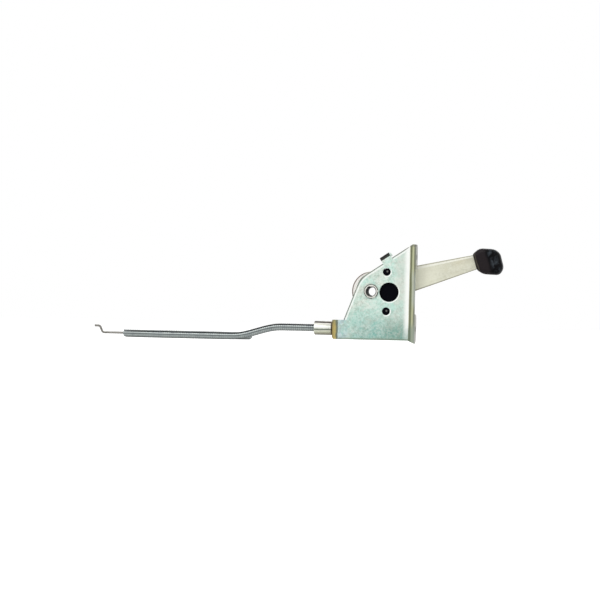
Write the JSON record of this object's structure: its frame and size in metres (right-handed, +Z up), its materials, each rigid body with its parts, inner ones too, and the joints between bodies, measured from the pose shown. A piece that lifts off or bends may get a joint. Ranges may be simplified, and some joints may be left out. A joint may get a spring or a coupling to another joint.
{
  "type": "lever throttle control",
  "caption": "Bent steel bracket with a pivoting hand lever, black knob, and a steel conduit cable whose inner wire ends in a Z-bend",
  "frame": {"origin": "middle of the bracket plate's bottom edge, straight below the lever pivot", "axes": "+X from the cable towards the knob, +Y from the plate's front face towards the ears' ends, +Z up along the plate"},
  "size_m": [0.2995, 0.0983, 0.0676],
  "materials": {
    "bracket": "pale grey-green zinc plating with a mottled passivation",
    "rivet": "bright zinc plating",
    "pad": "moulded black plastic",
    "lever": "cream grey zinc plating",
    "washers": "bright zinc plating",
    "knob": "moulded black plastic, satin",
    "ferrule": "turned bright zinc plated steel",
    "conduit": "close-wound bare steel wire",
    "wire": "drawn steel wire"
  },
  "bodies": {
    "bracket_body": {"bracket": "bracket", "pivot_rivet": "rivet", "friction_pad": "pad", "wave_washer": "washers", "flat_washer": "washers", "cable_ferrule": "ferrule", "conduit_start": "conduit", "conduit_run": "conduit", "conduit_coil": "conduit", "conduit_tail": "conduit", "conduit_end": "conduit"},
    "lever_body": {"throttle_lever": "lever", "lever_knob": "knob"},
    "inner_wire": {"wire_lever_end": "wire", "wire_carb_end": "wire"}
  },
  "joints": [
    {"name": "lever_pivot", "type": "hinge", "parent": "bracket_body", "child": "lever_body", "pos_m": [0, 0, 0.033], "axis": [0, -1, 0], "range_deg": [-27, 18]},
    {"name": "wire_slide", "type": "slide", "parent": "bracket_body", "child": "inner_wire", "axis": [1, 0, 0], "range_m": [-0.0135, 0.009]}
  ],
  "couplings": [
    {"joint": "wire_slide", "follows": "lever_pivot", "m_per_rad": 0.0266}
  ]
}
